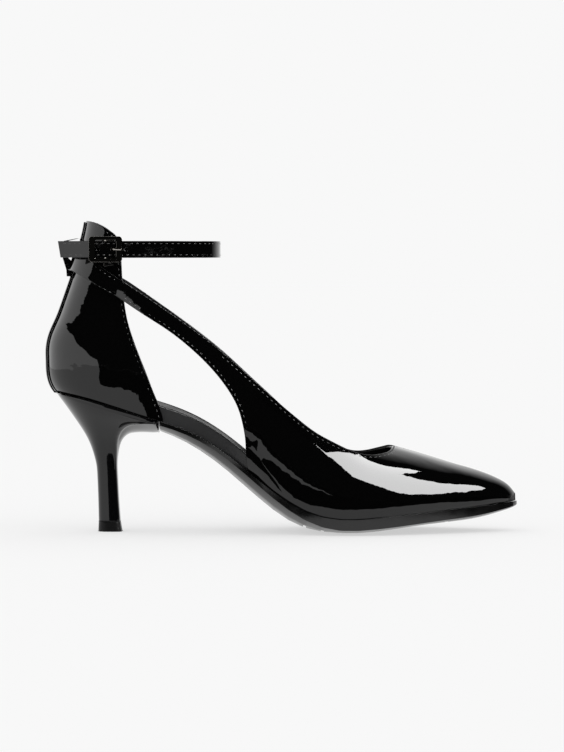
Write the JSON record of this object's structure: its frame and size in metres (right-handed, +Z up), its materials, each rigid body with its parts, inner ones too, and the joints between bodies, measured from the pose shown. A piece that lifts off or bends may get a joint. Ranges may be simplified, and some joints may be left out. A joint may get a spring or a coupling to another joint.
{
  "type": "ankle strap pump",
  "caption": "Women's right ankle strap pump with pointed toe, side cut-outs, sling straps round a tall counter, slim stiletto heel and a small square buckle.",
  "frame": {"origin": "centre of the heel tip's bottom face, on the floor", "axes": "+X towards the toe, +Y to the medial side, which is the wearer's left, +Z up"},
  "size_m": [0.236, 0.0755, 0.155],
  "materials": {
    "patent": "black patent, mirror gloss",
    "sock": "black, matt, with patent wrapped edge",
    "sole": "moulded, satin",
    "heel": "moulded, lacquered, gloss",
    "tip": "hard, satin",
    "buckle": "black nickel, polished"
  },
  "bodies": {
    "root": {"outsole": "sole", "insole": "sock", "heel": "heel", "heel_tip": "tip", "vamp_and_sling": "patent", "counter": "patent", "back_stay": "patent", "back_loop": "patent", "ankle_strap": "patent", "buckle_frame": "buckle", "buckle_prong": "buckle"}
  },
  "joints": []
}
